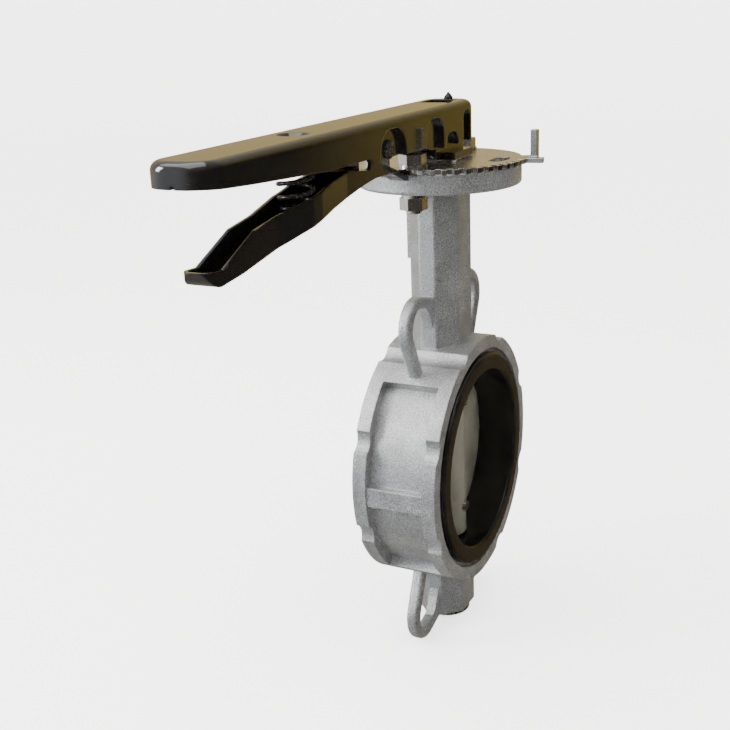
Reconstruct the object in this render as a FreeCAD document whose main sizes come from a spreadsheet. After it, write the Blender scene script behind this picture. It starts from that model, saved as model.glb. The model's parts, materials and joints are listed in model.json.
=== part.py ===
import FreeCAD, Part
import math
import os
import re

import Sketcher
from FreeCAD import Placement, Rotation, Vector

# A wafer butterfly valve, DN100, with a locking hand lever.
# The origin is the centre of the bore, +X runs along the pipe, +Z up the stem,
# and the lever points along -Y, which is the closed position.

SIZES = {
    # cast body
    "rim_r": 72, "body_half": 24.5, "rim_wide": 8, "web_r": 66,
    "liner_r": 60.5, "recess_r": 64.5, "recess_deep": 3,
    "pad_angle": 77, "rib_below": 8, "rib_above": 3,
    "scallop_r": 8.5, "scallop_centre": 77.5, "scallop_count": 8, "scallop_start": 22.5,
    "neck_half_x": 14.6, "neck_half_y": 19.4, "neck_cut": 9.9, "neck_root": 63, "neck_round": 2.5,
    "flange_low": 159.3, "flange_thick": 11.2, "flange_r": 45, "flange_round": 1.6,
    "bolt_ring_r": 35, "flange_hole_r": 4.5, "boss_low": 98.5,
    "plate_pad_half": 8.5, "plate_pad_low": 118, "plate_pad_thick": 2,
    # the four guide loops for the pipe flange bolts
    "loop_wide": 7.2, "loop_bar": 7.2, "loop_round": 2.2, "loop_bend_r": 13.5,
    "loop_centre_y": 36, "loop_centre_z": 86.5,
    "loop_foot_y": 36.5, "loop_foot_z": 55.7, "loop_neck_y": 12, "loop_neck_z": 94,
    "loop_leave": 25, "loop_reach": 74.5, "gusset_half": 2.8,
    # liner
    "bore_r": 52, "seat_half": 26, "lip_r": 62, "lip_deep": 4.3, "lip_round": 1.6, "rubber_gap": 0.3,
    # stem and its sealing
    "stem_r": 8, "stem_low": 84, "stem_round_top": 172, "stem_top": 196, "square_half": 5.5,
    "running_gap": 0.05, "shaft_bore_r": 11,
    "neck_bush_low": 64, "bush_long": 24, "upper_bush_low": 136,
    "ring_minor_r": 1.2, "ring_pitch": 2.6, "ring_low": 162.4,
    "gland_low": 166.4, "gland_high": 170.2, "circlip_low": 170.7, "circlip_thick": 1.2,
    "circlip_r": 10.4, "circlip_groove": 0.7,
    "bottom_bush_low": 84, "bottom_bush_high": 64,
    "plug_thick": 7, "plug_head_r": 14, "plug_head_thick": 3, "plug_socket_r": 4.6,
    # disc
    "disc_ball_r": 51.7, "disc_edge_half": 2, "disc_mid_half": 6, "disc_mid_r": 22,
    "hub_r": 12.5, "hub_half": 50, "pin_r": 3, "pin_z": 33, "pin_half": 14,
    # notch plate
    "plate_low": 170.5, "plate_thick": 2.5, "plate_hole_r": 13.5, "plate_back_r": 45,
    "tooth_tip_r": 48, "notch_root_r": 44.5, "notch_wide": 3.2, "notch_step": 7.5, "notch_count": 13,
    "end_tab_r": 57, "end_tab_near": 7.6, "end_tab_far": 13.4,
    "stop_in": 47, "stop_out": 50.5, "stop_near": 15.4, "stop_far": 19.6, "stop_top": 187,
    "stop_root_from": 15, "stop_root_to": 24, "teeth_from": 105, "teeth_span": 120,
    # fasteners, M8
    "bolt_r": 4, "bolt_end": 148.6, "bolt_head_thick": 5.3, "hex_flats": 13, "nut_thick": 6.5,
    "washer_r": 8, "washer_thick": 1.6, "spring_washer_r": 6.4, "spring_washer_thick": 2, "hole_gap": 0.25,
    # lever
    "lever_half": 15, "lever_tip": 243.2, "lever_rear": 21, "lever_top": 203.4, "sheet": 2.5,
    "tip_round": 11.5, "rear_round": 12.5, "top_round": 4, "skirt_rear": 182,
    "flute_deep": 3, "flute_border": 2.5, "flute_curve": 0.8,
    "window_half": 7.5, "window_front": 8.5, "window_rear": 9.5,
    "dimple_r": 7.2, "dimple_floor_r": 4.4, "dimple_deep": 2.2, "boss_r": 6.2, "boss_deep": 2,
    "seam_half": 0.8, "seam_top": 194.8,
    # hub block on the stem square
    "hub_half_x": 9.3, "hub_front": 26, "hub_rear": 17.6, "hub_round": 6, "hub_low": 177.2, "hub_top": 200.7,
    "hub_foot_low": 174, "hub_foot_half_x": 14.6, "hub_foot_half_y": 13, "square_gap": 0.1,
    "clamp_screw_r": 2, "clamp_screw_y": 14.6, "clamp_screw_top": 207.4, "clamp_screw_low": 190,
    "clamp_collar_r": 2.4,
    # trigger
    "pivot_y": 89, "pivot_z": 189, "pivot_r": 3, "pivot_head_r": 4.6, "pivot_head_thick": 1.5,
    "trigger_sheet": 1.6, "ear_half": 9.1, "ear_r": 7.5, "grip_half": 6.7, "grip_round": 5.6,
    "bulge_half": 10.4, "bulge_rear": 126, "bulge_back": 152, "bulge_front": 160, "grip_from": 184,
    "trigger_tip": 235.4, "lip_z": 161.4, "tip_low": 154.2, "scoop_r": 8, "scoop_back": 5,
    "hook_half": 4, "hook_end": 49.3,
    "tooth_in": 45.8, "tooth_half": 1.3, "tooth_low": 168.3, "tooth_high": 173.6,
    # spring
    "spring_y": 156, "spring_r": 7.5, "wire_r": 1, "spring_low": 170.2, "spring_high": 200.7,
    "spring_turns": 6.5, "spring_seat_z": 170.1, "spring_seat_r": 8.5,
}

# Edges seen from the side: distance in front of the stem, and height, from the rear forwards.
PROFILES = {
    "skirt": [(37, 182), (50, 185), (104, 185), (110, 184), (114, 187.8), (152, 187.8),
              (174, 189.2), (212, 191.4), (241, 193.5)],
    "rim": [(103, 181.2), (124, 183.4), (141, 181.4), (152, 178.6), (164, 176.6), (200.4, 171.2),
            (224, 160.8)],
    "floor": [(98, 176.5), (109, 175.2), (121, 173.1), (140, 169.8), (157, 165.9), (178, 161.9),
              (197, 158.7), (211, 156.3)],
    "hook_top": [(98, 179), (85, 178.2), (77.6, 178.8), (70.4, 178), (61.3, 174.8), (53.9, 171.5),
                 (49.3, 170.3)],
    "hook_under": [(98, 176.5), (77, 176.1), (70, 175), (61.5, 171.9), (53.5, 168.6), (49.3, 168)],
    "gusset": [(30, 97), (24.2, 91.8), (21, 85.6), (18.5, 79), (18.5, 96)],
}
for edge, points in PROFILES.items():
    for number_, (forward, up) in enumerate(points):
        SIZES[f"{edge}_y{number_}"] = forward
        SIZES[f"{edge}_z{number_}"] = up

doc = FreeCAD.newDocument("butterfly_valve")
sheet = doc.addObject("Spreadsheet::Sheet", "sizes")


def fill_sheet():
    for row, (word, value) in enumerate(SIZES.items(), start=1):
        sheet.set(f"A{row}", word)
        sheet.set(f"B{row}", str(value))
        sheet.setAlias(f"B{row}", word)
    doc.recompute()


def profile(name, lift="0"):
    """The points of an edge as formulas in the side view, moved up by a lift."""
    return [(f"-{name}_y{i}", f"({name}_z{i} + {lift})") for i in range(len(PROFILES[name]))]


def bound(formula):
    """Write a formula of plain size words as an expression on the sheet."""
    return re.sub(r"[a-z]\w*", lambda w: "sizes." + w[0] if w[0] in SIZES else w[0], str(formula))


def number(formula):
    return float(sheet.evalExpression(bound(formula)))


def bind(thing, **formulas):
    """Bind properties to the sheet; a double underscore in a name stands for a dot."""
    for path, formula in formulas.items():
        thing.setExpression(path.replace("__", "."), bound(formula))


# ---- sketches -------------------------------------------------------------


def new_body(label):
    body = doc.addObject("PartDesign::Body", label)
    body.Label = label
    return body


def new_sketch(body, role, offset=0):
    """Attach a sketch to one of the body's own origin planes, moved along its normal."""
    sketch = body.newObject("Sketcher::SketchObject", body.Name + "_sketch")
    plane = next(f for f in body.Origin.OriginFeatures if f.Role == role)
    sketch.AttachmentSupport = (plane, [""])
    sketch.MapMode = "FlatFace"
    sketch.setExpression(".AttachmentOffset.Base.z", bound(offset))
    return sketch


def dimension(sketch, kind, where, formula):
    index = sketch.addConstraint(Sketcher.Constraint(kind, *where, number(formula)))
    sketch.setExpression(f"Constraints[{index}]", bound(formula))


def pin(sketch, geometry, point, x, y):
    """Place a sketch point by two bound dimensions from the origin."""
    dimension(sketch, "DistanceX", (-1, 1, geometry, point), x)
    dimension(sketch, "DistanceY", (-1, 1, geometry, point), y)


def circle(sketch, x, y, radius):
    centre = Vector(number(x), number(y), 0)
    index = sketch.addGeometry(Part.Circle(centre, Vector(0, 0, 1), number(radius)))
    pin(sketch, index, 3, x, y)
    dimension(sketch, "Radius", (index,), radius)


def round_corner(sketch, corner, before, after, line_in, line_out, radius):
    """Join two lines by a tangent arc round a corner, which stays as a construction point."""
    back = (before - corner).normalize()
    ahead = (after - corner).normalize()
    half = back.getAngle(ahead) / 2
    size = number(radius)
    centre = corner + (back + ahead).normalize() * (size / math.sin(half))
    ends = [corner + back * (size / math.tan(half)), corner + ahead * (size / math.tan(half))]
    turns_left = (back.x * ahead.y - back.y * ahead.x) < 0
    if not turns_left:
        ends.reverse()
    angles = [math.atan2(e.y - centre.y, e.x - centre.x) for e in ends]
    arc = Part.ArcOfCircle(Part.Circle(centre, Vector(0, 0, 1), size), *angles)
    index = sketch.addGeometry(arc)
    first, last = (1, 2) if turns_left else (2, 1)
    sketch.addConstraint(Sketcher.Constraint("Tangent", line_in, 2, index, first))
    sketch.addConstraint(Sketcher.Constraint("Tangent", index, last, line_out, 1))
    dimension(sketch, "Radius", (index,), radius)


def outline(sketch, corners):
    """Draw a closed outline. A corner is x, y and, where it is rounded, a radius."""
    points = [Vector(number(c[0]), number(c[1]), 0) for c in corners]
    count = len(points)
    first = sketch.GeometryCount
    for i in range(count):
        sketch.addGeometry(Part.LineSegment(points[i], points[(i + 1) % count]))
    for i, corner in enumerate(corners):
        line_in = first + (i - 1) % count
        line_out = first + i
        if len(corner) == 2:
            sketch.addConstraint(Sketcher.Constraint("Coincident", line_in, 2, line_out, 1))
            pin(sketch, line_out, 1, *corner)
            continue
        mark = sketch.addGeometry(Part.Point(points[i]), True)
        pin(sketch, mark, 1, corner[0], corner[1])
        for line in (line_in, line_out):
            sketch.addConstraint(Sketcher.Constraint("PointOnObject", mark, 1, line))
        ends = points[i - 1], points[(i + 1) % count]
        round_corner(sketch, points[i], *ends, line_in, line_out, corner[2])


def rectangle(sketch, low_x, high_x, low_y, high_y):
    outline(sketch, [(low_x, low_y), (high_x, low_y), (high_x, high_y), (low_x, high_y)])


# ---- features -------------------------------------------------------------


def add_feature(body, kind, sketch, name):
    feature = body.newObject("PartDesign::" + kind, body.Name + "_" + name)
    feature.Profile = sketch
    body.Tip = feature
    return feature


def pad(body, sketch, length, both=False, back=False, name="pad", kind="Pad"):
    feature = add_feature(body, kind, sketch, name)
    feature.SideType = "Symmetric" if both else "One side"
    feature.Reversed = back
    bind(feature, Length=length)
    doc.recompute()
    return feature


def pocket(body, sketch, length, both=False, back=False, name="pocket"):
    """Cut a pocket and make sure that it took material away."""
    before = body.Shape.Volume
    feature = pad(body, sketch, length, both, back, name, "Pocket")
    if body.Shape.Volume >= before:
        raise RuntimeError(f"{feature.Name} cuts nothing")
    return feature


def revolve(body, sketch, axis="H_Axis", angle=None, kind="Revolution", name="revolution"):
    feature = add_feature(body, kind, sketch, name)
    feature.ReferenceAxis = (sketch, [axis])
    feature.Midplane = angle is not None
    if angle is None:
        feature.Angle = 360
    else:
        bind(feature, Angle=angle)
    doc.recompute()
    return feature


def ring_pattern(body, feature, axis_role, count, span=360):
    """Repeat a feature round one of the body's own axes."""
    pattern = body.newObject("PartDesign::PolarPattern", feature.Name + "_ring")
    axis = next(f for f in body.Origin.OriginFeatures if f.Role == axis_role)
    pattern.Originals = [feature]
    pattern.Axis = (axis, [""])
    pattern.Angle = span
    bind(pattern, Occurrences=count)
    body.Tip = pattern
    doc.recompute()
    return pattern


def mirrored(body, features, plane_role):
    feature = body.newObject("PartDesign::Mirrored", body.Name + "_mirror")
    plane = next(f for f in body.Origin.OriginFeatures if f.Role == plane_role)
    feature.Originals = features
    feature.MirrorPlane = (plane, [""])
    body.Tip = feature
    doc.recompute()
    return feature


def edges_where(shape, test):
    return [f"Edge{i}" for i, edge in enumerate(shape.Edges, start=1) if test(edge)]


def dress(body, kind, test, size):
    """Fillet or chamfer the edges of the body's last feature that pass the test."""
    base = body.Tip
    feature = body.newObject("PartDesign::" + kind, f"{base.Name}_{kind.lower()}")
    feature.Base = (base, edges_where(base.Shape, test))
    bind(feature, **{"Radius" if kind == "Fillet" else "Size": size})
    body.Tip = feature
    doc.recompute()
    if feature.Shape.isNull() or not feature.Shape.isValid():
        raise RuntimeError(f"{feature.Name} failed")
    return feature


def is_circle(edge, radius, z):
    """True for a full-height circular edge of this radius at this height."""
    curve = edge.Curve
    if not hasattr(curve, "Radius") or not hasattr(curve, "Center"):
        return False
    return abs(curve.Radius - number(radius)) < 0.01 and abs(curve.Center.z - number(z)) < 0.01


def is_upright(edge, z):
    """True for a straight vertical edge that passes this height."""
    ends = edge.Vertexes
    if len(ends) < 2 or abs(ends[0].X - ends[1].X) > 0.01 or abs(ends[0].Y - ends[1].Y) > 0.01:
        return False
    return min(ends[0].Z, ends[1].Z) < z < max(ends[0].Z, ends[1].Z)


def prism(label, role, corners, length, offset=0, both=False):
    """A body of one pad."""
    body = new_body(label)
    sketch = new_sketch(body, role, offset)
    outline(sketch, corners)
    pad(body, sketch, length, both)
    return body


def turned(label, corners, role="XZ_Plane", axis="V_Axis"):
    """A body of one revolution. Corners are radius, height for the upright axis."""
    body = new_body(label)
    sketch = new_sketch(body, role)
    outline(sketch, corners)
    revolve(body, sketch, axis)
    return body


def sleeve(label, inner, outer, low, high):
    return turned(label, [(inner, low), (outer, low), (outer, high), (inner, high)])


def boolean(kind, label, first, others):
    """A Part boolean of whole objects."""
    if kind == "Cut" and len(others) > 1:
        others = [boolean("MultiFuse", label + "_tools", others[0], others[1:])]
    if kind in ("MultiFuse", "MultiCommon"):
        thing = doc.addObject("Part::" + kind, label)
        thing.Shapes = [first] + others
    else:
        thing = doc.addObject("Part::" + kind, label)
        thing.Base = first
        thing.Tool = others[0]
    thing.Label = label
    doc.recompute()
    return thing


def cylinder(label, radius, height, x=0, y=0, z=0, along="Z"):
    """A Part cylinder that starts at x, y, z and runs along an axis."""
    thing = doc.addObject("Part::Cylinder", label)
    thing.Label = label
    direction = {"X": Vector(1, 0, 0), "Y": Vector(0, 1, 0), "Z": Vector(0, 0, 1)}[along]
    thing.Placement = Placement(Vector(), Rotation(Vector(0, 0, 1), direction))
    bind(thing, Radius=radius, Height=height)
    bind(thing, Placement__Base__x=x, Placement__Base__y=y, Placement__Base__z=z)
    return thing


def box(label, low, high):
    """A Part box between two corners, given as formulas."""
    thing = doc.addObject("Part::Box", label)
    thing.Label = label
    bind(thing, Length=f"({high[0]}) - ({low[0]})", Width=f"({high[1]}) - ({low[1]})")
    bind(thing, Height=f"({high[2]}) - ({low[2]})")
    bind(thing, Placement__Base__x=low[0], Placement__Base__y=low[1], Placement__Base__z=low[2])
    return thing


def group(label, things):
    """Separate solids kept together as one sub-part."""
    thing = doc.addObject("Part::Compound", label)
    thing.Label = label
    thing.Links = things
    doc.recompute()
    return thing


def hexagon(flats, x=0, y=0):
    """The six corners of a hexagon with two of its flats facing the x direction."""
    corner = f"({flats}) / 2 / cos(30)"
    angles = range(30, 360, 60)
    return [(f"{x} + {corner} * cos({angle})", f"{y} + {corner} * sin({angle})") for angle in angles]


# ---- cast body and liner --------------------------------------------------


def octagon():
    """The neck's outline: a rectangle with its corners cut off."""
    quarter = [("neck_half_x", "(neck_half_y - neck_cut)"), ("(neck_half_x - neck_cut)", "neck_half_y")]
    corners = []
    for sign_x, sign_y in ((1, 1), (-1, 1), (-1, -1), (1, -1)):
        pair = quarter if sign_x * sign_y > 0 else quarter[::-1]
        corners += [(f"{sign_x} * {x}", f"{sign_y} * {y}") for x, y in pair]
    return corners


def body_ring(body):
    """The hollow ring: two rims, a lower web between them and a recess at each face."""
    sketch = new_sketch(body, "XZ_Plane")
    web = "body_half - rim_wide"
    step = "body_half - recess_deep"
    half = [(step, "liner_r"), (step, "recess_r"), ("body_half", "recess_r"),
            ("body_half", "rim_r"), (web, "rim_r"), (web, "web_r")]
    outline(sketch, half + [(f"-({x})", r) for x, r in reversed(half)])
    revolve(body, sketch, name="ring")


def body_pads(body):
    """Where the neck, the boss and the side ribs stand, the web is as high as the rims."""
    for side in ("", "-"):
        sketch = new_sketch(body, "XZ_Plane")
        web = "body_half - rim_wide + 0.5"
        rectangle(sketch, f"-({web})", web, f"{side}(web_r - 2)", f"{side}rim_r")
        revolve(body, sketch, angle="pad_angle", name="pad_sector")
    sketch = new_sketch(body, "YZ_Plane")
    rectangle(sketch, "-(rim_r - 1)", "-(web_r - 3)", "-rib_below", "rib_above")
    rib = pad(body, sketch, "2 * (body_half - rim_wide + 0.5)", both=True, name="rib")
    mirrored(body, [rib], "XZ_Plane")


def body_neck(body):
    sketch = new_sketch(body, "XY_Plane", "neck_root")
    outline(sketch, octagon())
    pad(body, sketch, "flange_low - neck_root + 1", name="neck")
    middle = (number("flange_low") + number("neck_root")) / 2
    dress(body, "Fillet", lambda e: is_upright(e, middle), "neck_round")
    sketch = new_sketch(body, "XY_Plane", "-boss_low")
    outline(sketch, octagon())
    pad(body, sketch, "boss_low - neck_root", name="boss")
    low = -number("boss_low")
    dress(body, "Fillet", lambda e: is_upright(e, low + 1), "neck_round")
    sketch = new_sketch(body, "YZ_Plane", "-neck_half_x - plate_pad_thick")
    rectangle(sketch, "-plate_pad_half", "plate_pad_half", "plate_pad_low", "flange_low + 1")
    pad(body, sketch, "plate_pad_thick + 1", name="plate_pad")


def body_flange(body):
    sketch = new_sketch(body, "XY_Plane", "flange_low")
    circle(sketch, 0, 0, "flange_r")
    pad(body, sketch, "flange_thick", name="flange")
    top = "flange_low + flange_thick"
    dress(body, "Fillet", lambda e: is_circle(e, "flange_r", "flange_low"), "flange_round")
    dress(body, "Fillet", lambda e: is_circle(e, "flange_r", top), "flange_round / 2")


def body_loops(body):
    """Each loop is a bar from the ring, round a bend and into the neck or the boss."""
    for side in ("", "-"):
        path = new_sketch(body, "YZ_Plane")
        centre = Vector(number("-loop_centre_y"), number(side + "loop_centre_z"), 0)
        foot = Vector(number("-loop_foot_y"), number(side + "loop_foot_z"), 0)
        neck = Vector(number("-loop_neck_y"), number(side + "loop_neck_z"), 0)
        sign = -1 if side else 1
        bend = number("loop_bend_r")
        leaving, reaching = math.radians(number("loop_leave")), math.radians(number("loop_reach"))
        leave = centre + Vector(-math.cos(leaving), -sign * math.sin(leaving), 0) * bend
        reach = centre + Vector(math.cos(reaching), sign * math.sin(reaching), 0) * bend
        ends = [leave, reach] if side else [reach, leave]
        angles = [math.atan2(p.y - centre.y, p.x - centre.x) for p in ends]
        path.addGeometry(Part.LineSegment(foot, leave))
        path.addGeometry(Part.ArcOfCircle(Part.Circle(centre, Vector(0, 0, 1), bend), *angles))
        path.addGeometry(Part.LineSegment(reach, neck))
        first, last = (1, 2) if side else (2, 1)
        path.addConstraint(Sketcher.Constraint("Tangent", 0, 2, 1, first))
        path.addConstraint(Sketcher.Constraint("Tangent", 1, last, 2, 1))
        dimension(path, "Radius", (1,), "loop_bend_r")
        pin(path, 1, 3, "-loop_centre_y", side + "loop_centre_z")
        pin(path, 0, 1, "-loop_foot_y", side + "loop_foot_z")
        pin(path, 2, 2, "-loop_neck_y", side + "loop_neck_z")
        section = new_sketch(body, "XY_Plane", side + "loop_foot_z")
        half_x = "loop_wide / 2"
        near = "-loop_foot_y + loop_bar / 2"
        far = "-loop_foot_y - loop_bar / 2"
        outline(section, [(f"-{half_x}", far, "loop_round"), (half_x, far, "loop_round"),
                          (half_x, near, "loop_round"), (f"-{half_x}", near, "loop_round")])
        pipe = add_feature(body, "AdditivePipe", section, "loop")
        pipe.Spine = (path, ["Edge1", "Edge2", "Edge3"])
        doc.recompute()
        gusset = new_sketch(body, "YZ_Plane")
        outline(gusset, [(y, side + z) for y, z in profile("gusset")])
        web = pad(body, gusset, "2 * gusset_half", both=True, name="gusset")
        mirrored(body, [pipe, web], "XZ_Plane")


def body_cuts(body):
    """The shaft bores, the bolt notches and the flange holes."""
    sketch = new_sketch(body, "XY_Plane", "-boss_low - 1")
    circle(sketch, 0, 0, "shaft_bore_r")
    pocket(body, sketch, "flange_low + flange_thick + boss_low + 2", back=True, name="shaft_bore")
    sketch = new_sketch(body, "YZ_Plane")
    circle(sketch, "scallop_centre * sin(scallop_start)", "scallop_centre * cos(scallop_start)", "scallop_r")
    notch = pocket(body, sketch, "2 * body_half + 2", both=True, name="scallop")
    ring_pattern(body, notch, "X_Axis", "scallop_count")
    sketch = new_sketch(body, "XY_Plane", "flange_low - 1")
    circle(sketch, "bolt_ring_r", 0, "flange_hole_r")
    hole = pocket(body, sketch, "flange_thick + 2", back=True, name="flange_hole")
    ring_pattern(body, hole, "Z_Axis", 4)


def valve_body():
    body = new_body("valve_body")
    body_ring(body)
    body_pads(body)
    body_neck(body)
    body_flange(body)
    body_loops(body)
    body_cuts(body)
    return body


def seat_liner():
    """The rubber liner lines the ring and folds over both of its faces."""
    body = new_body("seat_liner")
    sketch = new_sketch(body, "XZ_Plane")
    lip_in = "seat_half - lip_deep"
    skin = "liner_r - 0.1"
    half = [(lip_in, skin), (lip_in, "lip_r"), ("seat_half", "lip_r", "lip_round"),
            ("seat_half", "bore_r", "lip_round")]
    far = [(f"-({c[0]})",) + c[1:] for c in reversed(half)]
    outline(sketch, half + far)
    revolve(body, sketch, name="liner")
    sketch = new_sketch(body, "XY_Plane", "-rim_r")
    circle(sketch, 0, 0, "stem_r + rubber_gap")
    pocket(body, sketch, "2 * rim_r", back=True, name="stem_hole")
    return body


# ---- stem, its bushes and seals -------------------------------------------


def stem():
    body = new_body("stem")
    sketch = new_sketch(body, "XY_Plane", "-stem_low")
    circle(sketch, 0, 0, "stem_r")
    pad(body, sketch, "stem_round_top + stem_low", name="shaft")
    dress(body, "Chamfer", lambda e: is_circle(e, "stem_r", "-stem_low"), 1)
    sketch = new_sketch(body, "XY_Plane", "stem_round_top - 0.5")
    rectangle(sketch, "-square_half", "square_half", "-square_half", "square_half")
    pad(body, sketch, "stem_top - stem_round_top + 0.5", name="square")
    top = number("stem_top")
    dress(body, "Chamfer", lambda e: all(abs(v.Z - top) < 0.01 for v in e.Vertexes), 0.8)
    sketch = new_sketch(body, "XZ_Plane")
    rectangle(sketch, "stem_r - circlip_groove", "stem_r + 1", "circlip_low", "circlip_low + circlip_thick")
    revolve(body, sketch, "V_Axis", kind="Groove", name="clip_groove")
    for side in ("", "-"):
        sketch = new_sketch(body, "YZ_Plane")
        circle(sketch, 0, side + "pin_z", "pin_r")
        pocket(body, sketch, "3 * stem_r", both=True, name="pin_hole")
    return body


def bushes():
    inner = "stem_r + running_gap"
    outer = "shaft_bore_r"
    sleeve("lower_neck_bush", inner, outer, "neck_bush_low", "neck_bush_low + bush_long")
    sleeve("upper_neck_bush", inner, outer, "upper_bush_low", "upper_bush_low + bush_long")
    sleeve("bottom_bush", inner, outer, "-bottom_bush_low", "-bottom_bush_high")
    sleeve("gland_ring", inner, outer, "gland_low", "gland_high")


def seal_ring(label, radius, minor, z):
    ring = doc.addObject("Part::Torus", label)
    bind(ring, Radius1=radius, Radius2=minor, Placement__Base__z=z)
    return ring


def stem_seals():
    middle = "shaft_bore_r - ring_minor_r"
    heights = ("ring_low", "ring_low + ring_pitch")
    rings = [seal_ring(f"stem_seal_{i}", middle, "ring_minor_r", z) for i, z in enumerate(heights)]
    group("stem_o_rings", rings)


def stem_circlip():
    inner = "stem_r - circlip_groove"
    ring = sleeve("circlip_ring", inner, "circlip_r", "circlip_low", "circlip_low + circlip_thick")
    gap = box("circlip_gap", ("3", "-2.5", "circlip_low - 1"), ("circlip_r + 2", "2.5", "circlip_low + 3"))
    boolean("Cut", "stem_circlip", ring, [gap])


def bottom_closure():
    """A plug closes the lower shaft bore, on a sealing washer."""
    seat = "-boss_low"
    body = turned("bottom_plug", [
        (0, f"{seat} + plug_thick"), (0, f"{seat} - plug_head_thick - 1"),
        ("plug_head_r", f"{seat} - plug_head_thick - 1", 1), ("plug_head_r", f"{seat} - 1"),
        ("shaft_bore_r", f"{seat} - 1"), ("shaft_bore_r", f"{seat} + plug_thick")])
    sketch = new_sketch(body, "XY_Plane", f"{seat} - plug_head_thick - 1")
    outline(sketch, hexagon("2 * plug_socket_r"))
    pocket(body, sketch, "plug_head_thick + 2", back=True, name="socket")
    sleeve("plug_gasket", "shaft_bore_r", "plug_head_r - 0.5", f"{seat} - 1", seat)


# ---- disc -----------------------------------------------------------------


def disc():
    half = [("disc_mid_half", 0), ("disc_mid_half", "disc_mid_r"), ("disc_edge_half", "disc_ball_r + 2")]
    lens = turned("disc_lens", half + [(f"-{x}", r) for x, r in reversed(half)], axis="H_Axis")
    hub = cylinder("disc_hub", "hub_r", "2 * hub_half", z="-hub_half")
    solid = boolean("MultiFuse", "disc_blank", lens, [hub])
    ball = doc.addObject("Part::Sphere", "disc_ball")
    bind(ball, Radius="disc_ball_r")
    trimmed = boolean("MultiCommon", "disc_trimmed", solid, [ball])
    tools = [cylinder("disc_bore", "stem_r", "4 * hub_half", z="-2 * hub_half")]
    for name, z in (("upper", "pin_z"), ("lower", "-pin_z")):
        tools.append(cylinder(f"disc_{name}_pin_hole", "pin_r", "4 * hub_r", x="-2 * hub_r", z=z, along="X"))
    boolean("Cut", "disc", trimmed, tools)


def disc_pins():
    pins = []
    for name, z in (("upper", "pin_z"), ("lower", "-pin_z")):
        pins.append(cylinder(f"{name}_disc_pin", "pin_r", "2 * pin_half", x="-pin_half", z=z, along="X"))
    group("disc_pins", pins)


# ---- notch plate and its fasteners ----------------------------------------


def sector(label, radius, start, span, low, height):
    """A pie slice about the stem axis; start is in degrees from +X."""
    slice_ = doc.addObject("Part::Cylinder", label)
    slice_.Placement = Placement(Vector(), Rotation(Vector(0, 0, 1), number(start)))
    bind(slice_, Radius=radius, Height=height, Angle=span, Placement__Base__z=low)
    bind(slice_, Placement__Rotation__Angle=start)
    return slice_


def spoke(label, low, high, turn):
    """A box that is turned about the stem axis; it is drawn pointing along +X."""
    bar = box(label, low, high)
    angle = math.radians(number(turn))
    across = f"({low[1]})"
    bar.Placement = Placement(bar.Placement.Base, Rotation(Vector(0, 0, 1), math.degrees(angle)))
    bind(bar, Placement__Base__x=f"({low[0]}) * cos({turn}) - {across} * sin({turn})")
    bind(bar, Placement__Base__y=f"({low[0]}) * sin({turn}) + {across} * cos({turn})")
    return bar


def plate_ends():
    """Beyond each end of the notches: a tab for the trigger and an upright stop for the lever."""
    pieces = []
    plate = ("plate_low", "plate_thick")
    low, high = "plate_low", "stop_top"
    for name, tab, root in (("open", "end_tab_near", "stop_root_from"),
                            ("shut", "-90 - end_tab_far", "-90 - stop_root_to")):
        pieces.append(sector(f"{name}_end_tab", "end_tab_r", tab, "end_tab_far - end_tab_near", *plate))
        root_span = "stop_root_to - stop_root_from"
        pieces.append(sector(f"{name}_stop_root", "stop_out + 3", root, root_span, *plate))
    pieces.append(box("open_stop", ("stop_in", "stop_near", low), ("stop_out", "stop_far", high)))
    pieces.append(box("shut_stop", ("-stop_far", "-stop_out", low), ("-stop_near", "-stop_in", high)))
    return pieces


def plate_holes():
    top = "plate_low - 1"
    tall = "plate_thick + 2"
    tools = [cylinder("plate_centre_hole", "plate_hole_r", tall, z=top)]
    for name, side in (("rear", ""), ("front", "-")):
        hole_y = side + "bolt_ring_r"
        tools.append(cylinder(f"plate_{name}_bolt_hole", "flange_hole_r", tall, y=hole_y, z=top))
    for name, side in (("right", 1), ("left", -1)):
        for end in (-1, 1):
            tools.append(cylinder(f"plate_{name}_slot_end", "flange_hole_r", tall,
                                  x=f"{side} * bolt_ring_r", y=f"{end} * flange_hole_r", z=top))
        slot_low = (f"{side} * bolt_ring_r - flange_hole_r", "-flange_hole_r", top)
        slot_high = (f"{side} * bolt_ring_r + flange_hole_r", "flange_hole_r", "plate_low + 5")
        tools.append(box(f"plate_{name}_slot", slot_low, slot_high))
    return tools


def notch_plate():
    back = cylinder("plate_back", "plate_back_r", "plate_thick", z="plate_low")
    toothed = sector("plate_teeth", "tooth_tip_r", "-teeth_from", "teeth_span", "plate_low", "plate_thick")
    blank = boolean("MultiFuse", "plate_blank", back, [toothed] + plate_ends())
    tools = plate_holes()
    half = "notch_wide / 2"
    for i in range(SIZES["notch_count"]):
        tools.append(spoke(f"notch_{i}", ("notch_root_r", f"-{half}", "plate_low - 1"),
                           ("notch_root_r + 6", half, "plate_low + 5"), f"{i} * notch_step - 90"))
    boolean("Cut", "notch_plate", blank, tools)


def on_both_bolts(label, make):
    """Make one fastener at each of the two flange holes in use."""
    pieces = [make(f"{label}_{name}", side + "bolt_ring_r") for name, side in (("front", "-"), ("rear", ""))]
    group(label, pieces)


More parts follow.
